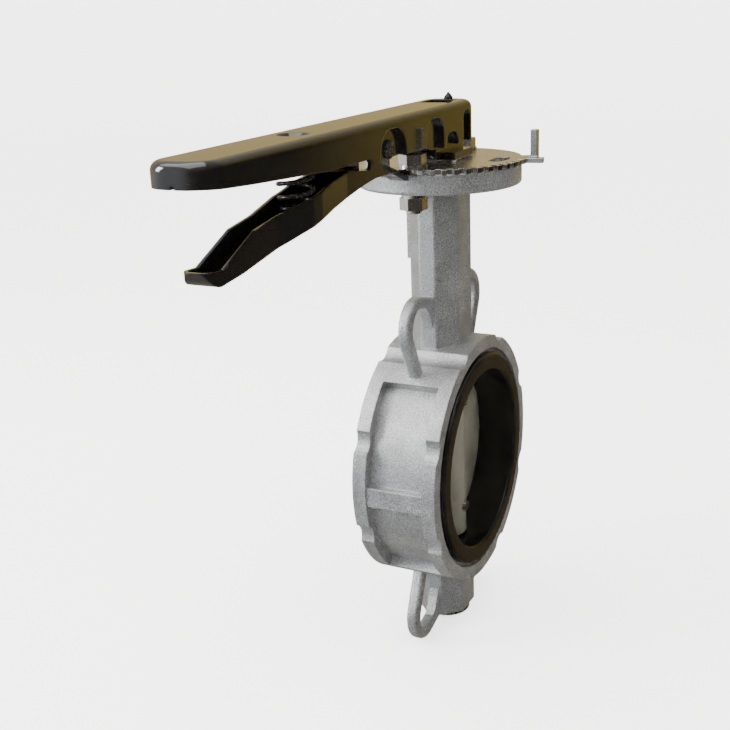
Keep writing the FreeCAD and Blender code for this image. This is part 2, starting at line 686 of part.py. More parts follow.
def hex_bolt(label, y):
    body = new_body(label)
    under_head = "plate_low + plate_thick + washer_thick"
    sketch = new_sketch(body, "XY_Plane", under_head)
    outline(sketch, hexagon("hex_flats", y=y))
    pad(body, sketch, "bolt_head_thick", name="head")
    sketch = new_sketch(body, "XY_Plane", "bolt_end")
    circle(sketch, 0, y, "bolt_r")
    pad(body, sketch, f"{under_head} - bolt_end + 1", name="shank")
    dress(body, "Chamfer", lambda e: is_circle(e, "bolt_r", "bolt_end"), 0.6)
    return body


def hex_nut(label, y):
    body = new_body(label)
    sketch = new_sketch(body, "XY_Plane", "flange_low - spring_washer_thick - nut_thick")
    outline(sketch, hexagon("hex_flats", y=y))
    pad(body, sketch, "nut_thick", name="nut")
    sketch = new_sketch(body, "XY_Plane", "flange_low")
    circle(sketch, 0, y, "bolt_r + 0.02")
    pocket(body, sketch, "3 * nut_thick", name="thread")
    return body


def ring_washer(label, y, radius, low, height):
    body = new_body(label)
    sketch = new_sketch(body, "XY_Plane", low)
    circle(sketch, 0, y, radius)
    circle(sketch, 0, y, "bolt_r + hole_gap")
    pad(body, sketch, height, name="washer")
    return body


def fasteners():
    on_both_bolts("plate_bolts", hex_bolt)
    on_both_bolts("plate_nuts", hex_nut)
    flat = ("washer_r", "plate_low + plate_thick", "washer_thick")
    on_both_bolts("flat_washers", lambda label, y: ring_washer(label, y, *flat))
    spring = ("spring_washer_r", "flange_low - spring_washer_thick", "spring_washer_thick")
    on_both_bolts("spring_washers", lambda label, y: ring_washer(label, y, *spring))


# ---- lever ----------------------------------------------------------------

# Pressed flutes in both side walls: name, front, rear and top.
FLUTES = [("pivot", "-103", "-74.5", 198.6), ("front", "-50", "-28", 198.4),
          ("middle", "-25", "-8.5", 189.4), ("rear", "-1", "9", 198.6)]


def lever_shell(body):
    """A box with rounded ends and a rounded top edge, hollow from below."""
    sketch = new_sketch(body, "XY_Plane", "skirt_rear")
    outline(sketch, [("-lever_half", "-lever_tip", "tip_round"), ("lever_half", "-lever_tip", "tip_round"),
                     ("lever_half", "lever_rear", "rear_round"), ("-lever_half", "lever_rear", "rear_round")])
    pad(body, sketch, "lever_top - skirt_rear", name="outside")
    top = number("lever_top")
    dress(body, "Fillet", lambda e: all(abs(v.Z - top) < 0.01 for v in e.Vertexes), "top_round")
    sketch = new_sketch(body, "XY_Plane", "skirt_rear")
    side = "(lever_half - sheet)"
    outline(sketch, [(f"-{side}", "-lever_tip + sheet", "tip_round - sheet"),
                     (side, "-lever_tip + sheet", "tip_round - sheet"),
                     (side, "lever_rear - sheet", "rear_round - sheet"),
                     (f"-{side}", "lever_rear - sheet", "rear_round - sheet")])
    pocket(body, sketch, "lever_top - sheet - skirt_rear", back=True, name="inside")


def flute_outline(front, rear, top, grow):
    radius = f"((({rear}) - ({front})) / 2 + {grow}) * flute_curve"
    return [(f"{front} - {grow}", "skirt_rear - 4"), (f"{rear} + {grow}", "skirt_rear - 4"),
            (f"{rear} + {grow}", f"{top} + {grow}", radius), (f"{front} - {grow}", f"{top} + {grow}", radius)]


def lever_flutes(body):
    """Each flute is a cheek inside the wall and a recess of the same shape outside it."""
    cheek_in = "lever_half - flute_deep - sheet"
    for name, front, rear, top in FLUTES:
        sketch = new_sketch(body, "YZ_Plane", cheek_in)
        outline(sketch, flute_outline(front, rear, top, "flute_border"))
        cheek = pad(body, sketch, "flute_deep + 0.5", name=f"{name}_cheek")
        mirrored(body, [cheek], "YZ_Plane")
    for name, front, rear, top in FLUTES:
        sketch = new_sketch(body, "YZ_Plane", "lever_half + 1")
        outline(sketch, flute_outline(front, rear, top, "0"))
        recess = pocket(body, sketch, "flute_deep + 1", name=f"{name}_recess")
        mirrored(body, [recess], "YZ_Plane")


def lever_skirt(body):
    """The lower edge of the side walls climbs in steps towards the grip."""
    low = "skirt_rear - 6"
    last = f"skirt_z{len(PROFILES['skirt']) - 1}"
    sketch = new_sketch(body, "YZ_Plane")
    outline(sketch, [("lever_rear + 3", low), ("lever_rear + 3", "skirt_rear")] + profile("skirt")
            + [("-lever_tip - 5", last), ("-lever_tip - 5", low)])
    pocket(body, sketch, "3 * lever_half", both=True, name="skirt")


def lever_dimple(body):
    """A dimple in the lever's top; under it stands the boss that holds the spring."""
    inside = "lever_top - sheet"
    sketch = new_sketch(body, "XY_Plane", f"{inside} - boss_deep")
    circle(sketch, 0, "-spring_y", "boss_r")
    pad(body, sketch, "boss_deep + 0.5", name="spring_boss")
    sketch = new_sketch(body, "YZ_Plane")
    outline(sketch, [("-spring_y", "lever_top + 1"), ("-spring_y", "lever_top - dimple_deep"),
                     ("-spring_y + dimple_floor_r", "lever_top - dimple_deep"),
                     ("-spring_y + dimple_r", "lever_top"), ("-spring_y + dimple_r", "lever_top + 1")])
    middle = -number("spring_y")
    axis = sketch.addGeometry(Part.LineSegment(Vector(middle, 0, 0), Vector(middle, 1, 0)), True)
    sketch.addConstraint(Sketcher.Constraint("Vertical", axis))
    dimension(sketch, "DistanceX", (-1, 1, axis, 1), "-spring_y")
    revolve(body, sketch, "Axis0", kind="Groove", name="dimple")


def lever_openings(body):
    """The window over the stem, the screw hole, the seam notch at the tip and the pivot holes."""
    sketch = new_sketch(body, "XY_Plane", "lever_top + 1")
    rectangle(sketch, "-window_half", "window_half", "-window_front", "window_rear")
    circle(sketch, 0, "clamp_screw_y", "clamp_screw_r + 0.2")
    pocket(body, sketch, "sheet + 2", name="top_holes")
    sketch = new_sketch(body, "XY_Plane", "seam_top")
    rectangle(sketch, "-seam_half", "seam_half", "-lever_tip - 1", "-lever_tip + sheet + 1")
    pocket(body, sketch, "seam_top - skirt_rear", name="seam_notch")
    sketch = new_sketch(body, "YZ_Plane")
    circle(sketch, "-pivot_y", "pivot_z", "pivot_r")
    pocket(body, sketch, "3 * lever_half", both=True, name="pivot_holes")


def lever():
    body = new_body("lever")
    lever_shell(body)
    lever_flutes(body)
    lever_skirt(body)
    lever_dimple(body)
    lever_openings(body)
    return body


def lever_hub():
    body = new_body("lever_hub")
    sketch = new_sketch(body, "XY_Plane", "hub_foot_low")
    rectangle(sketch, "-hub_foot_half_x", "hub_foot_half_x", "-hub_foot_half_y", "hub_foot_half_y")
    pad(body, sketch, "hub_low - hub_foot_low + 0.5", name="foot")
    sketch = new_sketch(body, "XY_Plane", "hub_low")
    outline(sketch, [("-hub_half_x", "-hub_front"), ("hub_half_x", "-hub_front"),
                     ("hub_half_x", "hub_rear", "hub_round"), ("-hub_half_x", "hub_rear", "hub_round")])
    pad(body, sketch, "hub_top - hub_low", name="block")
    sketch = new_sketch(body, "XY_Plane", "hub_foot_low")
    half = "square_half + square_gap"
    rectangle(sketch, f"-({half})", half, f"-({half})", half)
    pocket(body, sketch, "hub_top", back=True, name="square")
    sketch = new_sketch(body, "XY_Plane", "clamp_screw_low")
    circle(sketch, 0, "clamp_screw_y", "clamp_screw_r + 0.02")
    pocket(body, sketch, "hub_top", back=True, name="screw_hole")
    return body


def clamp_screw():
    body = turned("clamp_screw", [
        (0, "clamp_screw_low"), ("clamp_screw_r", "clamp_screw_low"), ("clamp_screw_r", "lever_top"),
        ("clamp_collar_r", "lever_top"), ("clamp_collar_r", "lever_top + 1"), (0, "clamp_screw_top")])
    bind(body, Placement__Base__y="clamp_screw_y")


# ---- trigger, its pivot and its spring ------------------------------------


def trigger_plan(label, inset, tip, rear):
    """The trigger seen from above: ears, a bulge round the spring and a narrow grip."""
    ear = f"(ear_half - {inset})"
    grip = f"(grip_half - {inset})"
    bulge = f"(bulge_half - {inset})"
    shift = f"{inset} / 3"
    right = [(grip, tip, f"grip_round - {inset}"), (grip, f"-grip_from + {shift}"),
             (bulge, f"-bulge_front + {shift}"), (bulge, f"-bulge_back - {shift}"),
             (ear, f"-bulge_rear - {shift}"), (ear, rear)]
    left = [(f"-{c[0]}",) + c[1:] for c in reversed(right)]
    return prism(label, "XY_Plane", right + left, 70, 140)


def trigger_channel():
    """A channel, open upwards, with two ears round the pivot and a scooped tip."""
    rear = "-pivot_y + ear_r"
    high = "pivot_z + ear_r"
    floor = profile("floor")
    ears = [(rear, high, "ear_r - 0.5"), ("-pivot_y - ear_r", high, "ear_r - 0.5")]
    tip = [("-trigger_tip", "lip_z"), ("-trigger_tip + scoop_back", "tip_low", "scoop_r")]
    side = prism("trigger_side", "YZ_Plane", ears + profile("rim") + tip
                 + floor[::-1] + [(rear, "floor_z0")], "3 * bulge_half", both=True)
    plan = trigger_plan("trigger_outer_plan", "0", "-trigger_tip", "-pivot_y + ear_r + 5")
    blank = boolean("MultiCommon", "trigger_blank", side, [plan])
    open_end = "-pivot_y + 29"
    above_floor = prism("trigger_above_floor", "YZ_Plane", [
        (open_end, "floor_z0 + trigger_sheet"), (open_end, "lever_top"),
        ("-trigger_tip - 9", "lever_top"), ("-trigger_tip - trigger_sheet / 2", "lip_z + 2.5 * trigger_sheet"),
        ("-trigger_tip + scoop_back + trigger_sheet / 2", "tip_low + trigger_sheet", "scoop_r - trigger_sheet")]
        + profile("floor", "trigger_sheet")[::-1], "3 * bulge_half", both=True)
    inner = trigger_plan("trigger_inner_plan", "trigger_sheet", "-trigger_tip + trigger_sheet", open_end)
    hollow = boolean("MultiCommon", "trigger_hollow", above_floor, [inner])
    shell = boolean("Cut", "trigger_shell", blank, [hollow])
    seat_high = "spring_seat_z - tip_low"
    round_seat = cylinder("trigger_round_seat", "spring_seat_r", seat_high, y="-spring_y", z="tip_low")
    seat = boolean("MultiCommon", "trigger_seat", blank, [round_seat])
    return boolean("MultiFuse", "trigger_pressing", shell, [seat])


def trigger():
    hook = prism("trigger_hook", "YZ_Plane", profile("hook_under") + profile("hook_top")[::-1],
                 "2 * hook_half", both=True)
    tooth = box("trigger_tooth", ("-tooth_half", "-hook_end - 1", "tooth_low"),
                ("tooth_half", "-tooth_in", "tooth_high"))
    solid = boolean("MultiFuse", "trigger_solid", trigger_channel(), [hook, tooth])
    hole = cylinder("trigger_pivot_hole", "pivot_r + running_gap", "4 * ear_half",
                    x="-2 * ear_half", y="-pivot_y", z="pivot_z", along="X")
    boolean("Cut", "trigger", solid, [hole])


def pivot_pin():
    """The trigger's rivet, with a head outside each cheek of the lever."""
    wall = "lever_half - flute_deep"
    end = f"{wall} + pivot_head_thick"
    body = turned("pivot_pin", [
        (f"-({end})", 0), (end, 0), (end, "pivot_head_r", 0.8), (wall, "pivot_head_r"), (wall, "pivot_r"),
        (f"-({wall})", "pivot_r"), (f"-({wall})", "pivot_head_r"), (f"-({end})", "pivot_head_r", 0.8)],
        axis="H_Axis")
    bind(body, Placement__Base__y="-pivot_y", Placement__Base__z="pivot_z")


def return_spring():
    body = new_body("return_spring")
    sketch = new_sketch(body, "XZ_Plane")
    circle(sketch, "spring_r", 0, "wire_r")
    coil = body.newObject("PartDesign::AdditiveHelix", "return_spring_coil")
    coil.Profile = sketch
    coil.ReferenceAxis = (sketch, ["V_Axis"])
    coil.Mode = 2
    bind(coil, Height="spring_high - spring_low - 2 * wire_r", Turns="spring_turns")
    body.Tip = coil
    bind(body, Placement__Base__y="-spring_y", Placement__Base__z="spring_low + wire_r")


# ---- the whole ------------------------------------------------------------

NODES = [
    "valve_body", "seat_liner", "stem", "disc", "disc_pins",
    "lower_neck_bush", "upper_neck_bush", "bottom_bush", "gland_ring", "stem_o_rings", "stem_circlip",
    "bottom_plug", "plug_gasket", "notch_plate",
    "plate_bolts", "plate_nuts", "flat_washers", "spring_washers",
    "lever", "lever_hub", "clamp_screw", "trigger", "pivot_pin", "return_spring",
]


def check_objects():
    for thing in doc.Objects:
        if "Invalid" in thing.State or "Error" in thing.State:
            raise RuntimeError(f"{thing.Label} is in state {thing.State}")
        if hasattr(thing, "Shape") and thing.Label in NODES:
            if thing.Shape.isNull() or not thing.Shape.isValid() or not thing.Shape.Solids:
                raise RuntimeError(f"{thing.Label} has no valid shape")


def export():
    os.makedirs("parts", exist_ok=True)
    for label in NODES:
        thing = doc.getObjectsByLabel(label)[0]
        thing.Shape.exportStep(f"parts/{label}.step")
        print(label, len(thing.Shape.Solids), round(thing.Shape.Volume))


fill_sheet()
for make in (valve_body, seat_liner, stem, bushes, stem_seals, stem_circlip, bottom_closure, disc, disc_pins,
             notch_plate, fasteners, lever, lever_hub, clamp_screw, trigger, pivot_pin, return_spring):
    make()
doc.recompute()
check_objects()
export()
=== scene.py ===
import json
import math

import bmesh
import bpy
from mathutils import Matrix, Vector


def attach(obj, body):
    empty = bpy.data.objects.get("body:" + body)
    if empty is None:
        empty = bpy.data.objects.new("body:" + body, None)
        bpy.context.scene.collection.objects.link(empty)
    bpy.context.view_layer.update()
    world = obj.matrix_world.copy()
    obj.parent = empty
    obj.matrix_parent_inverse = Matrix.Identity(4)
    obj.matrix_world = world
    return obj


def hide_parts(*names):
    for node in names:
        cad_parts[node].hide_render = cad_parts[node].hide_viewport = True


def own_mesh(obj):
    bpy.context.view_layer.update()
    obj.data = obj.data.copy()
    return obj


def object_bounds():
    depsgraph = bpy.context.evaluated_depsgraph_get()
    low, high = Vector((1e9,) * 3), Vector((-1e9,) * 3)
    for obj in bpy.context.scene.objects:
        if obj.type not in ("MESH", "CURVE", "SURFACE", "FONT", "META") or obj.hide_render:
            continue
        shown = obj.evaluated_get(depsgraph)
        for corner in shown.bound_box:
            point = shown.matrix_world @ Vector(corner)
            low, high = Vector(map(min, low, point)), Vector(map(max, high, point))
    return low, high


MM = 0.001

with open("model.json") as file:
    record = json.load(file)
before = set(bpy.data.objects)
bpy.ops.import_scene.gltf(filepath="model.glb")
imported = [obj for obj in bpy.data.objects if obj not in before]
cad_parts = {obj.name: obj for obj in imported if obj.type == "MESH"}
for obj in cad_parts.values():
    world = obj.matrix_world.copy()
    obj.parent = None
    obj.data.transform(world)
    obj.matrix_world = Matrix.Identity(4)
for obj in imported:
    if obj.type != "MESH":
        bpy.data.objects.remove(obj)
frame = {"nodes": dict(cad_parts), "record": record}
cad_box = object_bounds()


# ---- camera, floor and light ----------------------------------------------

CAMERA_PLACE = Vector((0.2425, -0.5691, 0.2537))
CAMERA_YAW = math.radians(27.25)
CAMERA_DOWN = math.radians(17.78)
CAMERA_ROLL = math.radians(-2.31)
CAMERA_LENS = 55.2


def add_camera():
    look = Vector((-math.sin(CAMERA_YAW) * math.cos(CAMERA_DOWN),
                   math.cos(CAMERA_YAW) * math.cos(CAMERA_DOWN), -math.sin(CAMERA_DOWN)))
    level = look.cross(Vector((0, 0, 1))).normalized()
    above = level.cross(look)
    right = level * math.cos(CAMERA_ROLL) + above * math.sin(CAMERA_ROLL)
    up = above * math.cos(CAMERA_ROLL) - level * math.sin(CAMERA_ROLL)
    camera = bpy.data.objects.new("camera", bpy.data.cameras.new("camera"))
    camera.data.sensor_width = 36
    camera.data.lens = CAMERA_LENS
    camera.matrix_world = Matrix.Translation(CAMERA_PLACE) @ Matrix((right, up, -look)).transposed().to_4x4()
    bpy.context.scene.collection.objects.link(camera)
    bpy.context.scene.camera = camera


def add_area_light(name, place, target, size, power, colour):
    """A rectangle of light turned towards a target."""
    light = bpy.data.lights.new(name, "AREA")
    light.shape = "RECTANGLE"
    light.size, light.size_y = size
    light.energy = power
    light.color = colour
    lamp = bpy.data.objects.new(name, light)
    lamp.location = place
    lamp.rotation_euler = (Vector(target) - Vector(place)).to_track_quat("-Z", "Y").to_euler()
    bpy.context.scene.collection.objects.link(lamp)


def add_lights():
    """A small light from the left and a wide one from above, in watts."""
    middle = (0, -0.05, 0.06)
    add_area_light("window_left", (-0.95, -0.7, 0.6), middle,
                   size=(0.35, 0.6), power=15, colour=(1.0, 0.99, 0.97))
    add_area_light("soft_top", (-0.2, -0.3, 1.3), middle,
                   size=(1.4, 1.2), power=16, colour=(1.0, 0.98, 0.95))


# Each wall of the room from left to right: place along it from 0 to 1, and colour.
ROOM_WALLS = {
    "behind_high": [(0.0, (0.62, 0.52, 0.30)), (0.28, (0.58, 0.45, 0.20)), (0.60, (0.44, 0.33, 0.08)),
                    (0.71, (0.36, 0.27, 0.06)), (0.755, (0.012, 0.010, 0.006)), (1.0, (0.008, 0.007, 0.005))],
    "behind_low": [(0.0, (0.45, 0.43, 0.38)), (0.45, (0.22, 0.18, 0.11)), (0.70, (0.17, 0.115, 0.055)),
                   (0.78, (0.03, 0.022, 0.014)), (1.0, (0.02, 0.016, 0.012))],
    "front_high": [(0.0, (1.05, 1.09, 1.16)), (0.3, (0.80, 0.84, 0.90)), (0.55, (0.26, 0.255, 0.24)),
                   (0.75, (0.06, 0.052, 0.042)), (1.0, (0.03, 0.024, 0.018))],
    "front_low": [(0.0, (0.50, 0.52, 0.53)), (0.3, (0.30, 0.305, 0.30)), (0.55, (0.13, 0.125, 0.115)),
                  (0.8, (0.035, 0.03, 0.024)), (1.0, (0.02, 0.016, 0.012))],
    "ceiling": [(0, (0.95, 0.98, 1.03)), (1, (0.26, 0.22, 0.15))],
}
PLAIN_LIGHT = (1.3, 1.305, 1.31)


def add_world():
    """Plain pale light, and a room that only reflections see: bright left, olive behind, dark right."""
    world = bpy.data.worlds.new("room")
    world.use_nodes = True
    nodes, links = world.node_tree.nodes, world.node_tree.links
    nodes.clear()
    direction = nodes.new("ShaderNodeTexCoord")
    split = nodes.new("ShaderNodeSeparateXYZ")
    links.new(direction.outputs["Generated"], split.inputs[0])

    def ramp_along(axis, low, high, *stops):
        spread = nodes.new("ShaderNodeMapRange")
        spread.inputs["From Min"].default_value = low
        spread.inputs["From Max"].default_value = high
        links.new(split.outputs[axis], spread.inputs["Value"])
        ramp = nodes.new("ShaderNodeValToRGB")
        elements = ramp.color_ramp.elements
        while len(elements) < len(stops):
            elements.new(0.5)
        for element, (position, colour) in zip(elements, stops):
            element.position = position
            element.color = (*colour, 1)
        links.new(spread.outputs["Result"], ramp.inputs["Fac"])
        return ramp.outputs["Color"]

    def blend(factor, first, second):
        mix = nodes.new("ShaderNodeMix")
        mix.data_type = "RGBA"
        links.new(factor, mix.inputs[0])
        links.new(first, mix.inputs[6])
        links.new(second, mix.inputs[7])
        return mix.outputs[2]

    def step(axis, low, high):
        """A soft change from 0 to 1 between two heights or depths of the view."""
        return ramp_along(axis, low, high, (0, (0, 0, 0)), (1, (1, 1, 1)))

    walls_by_place = {place: ramp_along("X", -1, 1, *stops) for place, stops in ROOM_WALLS.items()}
    behind = blend(step("Z", -0.24, -0.12), walls_by_place["behind_low"], walls_by_place["behind_high"])
    front = blend(step("Z", -0.55, -0.1), walls_by_place["front_low"], walls_by_place["front_high"])
    walls = blend(step("Y", -0.3, 0.3), front, behind)
    colour = blend(step("Z", 0.3, 0.7), walls, walls_by_place["ceiling"])
    room = nodes.new("ShaderNodeBackground")
    links.new(colour, room.inputs["Color"])
    plain = nodes.new("ShaderNodeBackground")
    plain.inputs["Color"].default_value = (*PLAIN_LIGHT, 1)
    path = nodes.new("ShaderNodeLightPath")
    mix = nodes.new("ShaderNodeMixShader")
    links.new(path.outputs["Is Glossy Ray"], mix.inputs["Fac"])
    links.new(plain.outputs[0], mix.inputs[1])
    links.new(room.outputs[0], mix.inputs[2])
    output = nodes.new("ShaderNodeOutputWorld")
    links.new(mix.outputs[0], output.inputs["Surface"])
    bpy.context.scene.world = world


# ---- materials ------------------------------------------------------------


class Shader:
    """A Principled material with short calls for the few nodes that these finishes use."""

    def __init__(self, name, colour, **sockets):
        self.material = bpy.data.materials.new(name)
        self.material.use_nodes = True
        self.nodes = self.material.node_tree.nodes
        self.links = self.material.node_tree.links
        self.surface = self.nodes["Principled BSDF"]
        self.surface.inputs["Base Color"].default_value = (*colour, 1)
        for socket, value in sockets.items():
            self.surface.inputs[socket.replace("_", " ")].default_value = value
        self.place = self.nodes.new("ShaderNodeTexCoord").outputs["Object"]

    def noise(self, scale, detail=4.0, rough=0.55, stretch=(1, 1, 1)):
        mapping = self.nodes.new("ShaderNodeMapping")
        mapping.inputs["Scale"].default_value = stretch
        self.links.new(self.place, mapping.inputs["Vector"])
        node = self.nodes.new("ShaderNodeTexNoise")
        node.inputs["Scale"].default_value = scale
        node.inputs["Detail"].default_value = detail
        node.inputs["Roughness"].default_value = rough
        self.links.new(mapping.outputs["Vector"], node.inputs["Vector"])
        return node.outputs["Fac"]

    def cells(self, scale):
        node = self.nodes.new("ShaderNodeTexVoronoi")
        node.inputs["Scale"].default_value = scale
        self.links.new(self.place, node.inputs["Vector"])
        return node.outputs["Distance"]

    def spread(self, value, low, high, start=0.3, end=0.7):
        """Carry a 0 to 1 pattern onto a range of values."""
        node = self.nodes.new("ShaderNodeMapRange")
        node.inputs["From Min"].default_value = start
        node.inputs["From Max"].default_value = end
        node.inputs["To Min"].default_value = low
        node.inputs["To Max"].default_value = high
        self.links.new(value, node.inputs["Value"])
        return node.outputs["Result"]

    def tint(self, value, *stops):
        """Colour a pattern by stops of position and colour."""
        node = self.nodes.new("ShaderNodeValToRGB")
        elements = node.color_ramp.elements
        while len(elements) < len(stops):
            elements.new(0.5)
        for element, (position, colour) in zip(elements, stops):
            element.position = position
            element.color = (*colour, 1)
        self.links.new(value, node.inputs["Fac"])
        return node.outputs["Color"]

    def times(self, first, second):
        node = self.nodes.new("ShaderNodeMix")
        node.data_type = "RGBA"
        node.blend_type = "MULTIPLY"
        node.inputs[0].default_value = 1
        self.links.new(first, node.inputs[6])
        self.links.new(second, node.inputs[7])
        return node.outputs[2]

    def feed(self, socket, value):
        self.links.new(value, self.surface.inputs[socket])

    def relief(self, *layers, edge=0.0):
        """Stack bumps, given as pattern and height in metres, over softened edges."""
        normal = None
        if edge:
            soft = self.nodes.new("ShaderNodeBevel")
            soft.samples = 6
            soft.inputs["Radius"].default_value = edge
            normal = soft.outputs["Normal"]
        for pattern, height in layers:
            bump = self.nodes.new("ShaderNodeBump")
            bump.inputs["Strength"].default_value = 1.0
            bump.inputs["Distance"].default_value = height
            self.links.new(pattern, bump.inputs["Height"])
            if normal:
                self.links.new(normal, bump.inputs["Normal"])
            normal = bump.outputs["Normal"]
        self.links.new(normal, self.surface.inputs["Normal"])


def cast_aluminium():
    """Sand-cast and blasted: a sparkling grain, slow waves and a few darker pores."""
    skin = Shader("cast_aluminium", (0.50, 0.50, 0.49), Metallic=0.92, Roughness=0.4)
    grain = skin.noise(1500, 3, 0.7)
    blotch = skin.noise(55, 5)
    shade = skin.tint(blotch, (0.3, (0.37, 0.375, 0.38)), (0.7, (0.54, 0.55, 0.56)))
    speck = skin.tint(grain, (0.34, (0.5, 0.5, 0.5)), (0.52, (0.97, 0.97, 0.97)), (0.66, (1.45, 1.45, 1.45)))
    skin.feed("Base Color", skin.times(shade, speck))
    skin.feed("Roughness", skin.spread(grain, 0.30, 0.52))
    skin.relief((skin.noise(45, 4), 0.0002), (grain, 0.00022), (skin.cells(900), 0.0001), edge=0.0009)
    return skin.material


def black_rubber():
    """Moulded rubber with a soft sheen and a little bloom."""
    skin = Shader("black_rubber", (0.003, 0.0029, 0.0027), Roughness=0.2, Specular_IOR_Level=0.35)
    bloom = skin.noise(90, 6)
    skin.feed("Base Color", skin.tint(bloom, (0.35, (0.0015, 0.0014, 0.0013)),
                                      (0.7, (0.0045, 0.0042, 0.0036))))
    skin.feed("Roughness", skin.spread(bloom, 0.15, 0.26))
    skin.relief((skin.noise(700, 3), 0.00003), (skin.noise(25, 2), 0.0002), edge=0.0005)
    return skin.material


def black_paint():
    """Thick gloss dip paint: slow orange peel under a clear surface, with specks of dust."""
    skin = Shader("black_paint", (0.0045, 0.0042, 0.004), Roughness=0.09, Coat_Weight=0.6,
                  Coat_Roughness=0.03)
    dust = skin.noise(2600, 2)
    skin.feed("Base Color", skin.tint(dust, (0.72, (0.0028, 0.0026, 0.0024)), (0.84, (0.012, 0.0115, 0.010))))
    skin.feed("Roughness", skin.spread(skin.noise(160, 3), 0.06, 0.13))
    skin.relief((skin.noise(110, 2, 0.4), 0.00005), edge=0.0012)
    return skin.material


def blackened_steel():
    """Oiled black steel with brighter worn spots."""
    skin = Shader("blackened_steel", (0.014, 0.013, 0.013), Metallic=0.6, Roughness=0.22)
    wear = skin.noise(500, 4)
    skin.feed("Base Color", skin.tint(wear, (0.45, (0.012, 0.011, 0.011)), (0.8, (0.05, 0.047, 0.042))))
    skin.feed("Roughness", skin.spread(wear, 0.16, 0.34))
    skin.relief((skin.noise(1200, 2), 0.00002), edge=0.0003)
    return skin.material


def zinc_plate():
    """Bright zinc: rolled streaks, a faint warm and blue passivation and small pits."""
    skin = Shader("zinc_plate", (0.78, 0.78, 0.77), Metallic=1.0, Roughness=0.24)
    streak = skin.noise(160, 4, 0.6, (1, 9, 1))
    film = skin.noise(35, 2)
    skin.feed("Base Color", skin.tint(film, (0.3, (0.70, 0.71, 0.74)), (0.5, (0.80, 0.79, 0.77)),
                                      (0.7, (0.80, 0.76, 0.67))))
    skin.feed("Roughness", skin.spread(streak, 0.16, 0.34))
    skin.relief((streak, 0.00003), (skin.noise(900, 2), 0.00002), edge=0.0004)
    return skin.material


def turned_steel():
    """Stainless bar with fine turning rings."""
    skin = Shader("turned_steel", (0.60, 0.59, 0.58), Metallic=1.0, Roughness=0.26)
    rings = skin.noise(30, 3, 0.7, (1, 1, 60))
    skin.feed("Base Color", skin.tint(rings, (0.3, (0.54, 0.53, 0.52)), (0.7, (0.68, 0.67, 0.66))))
    skin.feed("Roughness", skin.spread(rings, 0.2, 0.34))
    skin.relief((rings, 0.00002), edge=0.0003)
    return skin.material


def disc_metal():
    """A satin casting with slow stains."""
    skin = Shader("disc_metal", (0.17, 0.165, 0.13), Metallic=0.7, Roughness=0.36)
    satin = skin.noise(900, 3)
    stain = skin.noise(40, 4)
    skin.feed("Base Color", skin.tint(stain, (0.3, (0.13, 0.125, 0.095)), (0.7, (0.22, 0.21, 0.165))))
    skin.feed("Roughness", skin.spread(satin, 0.28, 0.44))
    skin.relief((satin, 0.00004), (stain, 0.0002), edge=0.0006)
    return skin.material


def bearing_bronze():
    """Turned bronze with blotches of tarnish."""
    skin = Shader("bearing_bronze", (0.50, 0.34, 0.15), Metallic=1.0, Roughness=0.3)
    tarnish = skin.noise(120, 5)
    skin.feed("Base Color", skin.tint(tarnish, (0.3, (0.38, 0.25, 0.11)), (0.7, (0.60, 0.42, 0.2))))
    skin.feed("Roughness", skin.spread(tarnish, 0.24, 0.4))
    skin.relief((skin.noise(60, 2, 0.5, (1, 1, 30)), 0.00002), edge=0.0003)
    return skin.material


def white_plastic():
    """Plain matt plastic, slightly mottled."""
    skin = Shader("white_plastic", (0.78, 0.77, 0.73), Roughness=0.45)
    mottle = skin.noise(200, 4)
    skin.feed("Base Color", skin.tint(mottle, (0.3, (0.74, 0.73, 0.69)), (0.7, (0.82, 0.81, 0.78))))
    skin.relief((skin.noise(900, 2), 0.00002), edge=0.0003)
    return skin.material


def floor_material():
    """A pale floor that glows a little, so that it stays near white under soft light."""
    skin = Shader("pale_floor", (0.86, 0.86, 0.85), Roughness=0.6, Emission_Strength=1.6)
    skin.surface.inputs["Emission Color"].default_value = (1, 1, 1, 1)
    skin.feed("Base Color", skin.tint(skin.noise(6, 4), (0.3, (0.85, 0.85, 0.84)), (0.7, (0.87, 0.87, 0.86))))
    skin.relief((skin.noise(300, 3), 0.00005))
    return skin.material


FINISHES = {
    "cast_aluminium": cast_aluminium, "black_rubber": black_rubber, "black_paint": black_paint,
    "black_steel": blackened_steel, "zinc_steel": zinc_plate, "stainless_steel": turned_steel,
    "disc_metal": disc_metal, "bronze": bearing_bronze, "white_plastic": white_plastic,
}


def paint_frame():
    """Give every CAD node the finish of its material slot."""
    made = {slot: make() for slot, make in FINISHES.items()}
    for part in frame["record"]["subparts"]:
        node = frame["nodes"][part["node"]]
        for place in node.material_slots:
            place.material = made[part["material_slot"]]
    return made


# ---- added pieces ---------------------------------------------------------


SPRING_Y = -156 * MM
SPRING_RADIUS = 7.5 * MM
SPRING_WIRE = 1.0 * MM
BOLT_Y = 35 * MM
THREAD_PITCH = 0.62 * MM
NECK_FACE_X = 14.6


def finish_piece(name, mesh, slot, body):
    """Turn a bmesh into a smooth piece that rides on a body."""
    data = bpy.data.meshes.new(name)
    mesh.to_mesh(data)
    mesh.free()
    for face in data.polygons:
        face.use_smooth = True
    piece = bpy.data.objects.new(name, data)
    data.materials.append(finishes[slot])
    bpy.context.scene.collection.objects.link(piece)
    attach(piece, body)
    return piece


def bridge(mesh, rings):
    """Join rings of equal length with bands of four-sided faces."""
    for ring, after in zip(rings, rings[1:]):
        for k in range(len(ring)):
            follower = (k + 1) % len(ring)
            mesh.faces.new((ring[k], ring[follower], after[follower], after[k]))


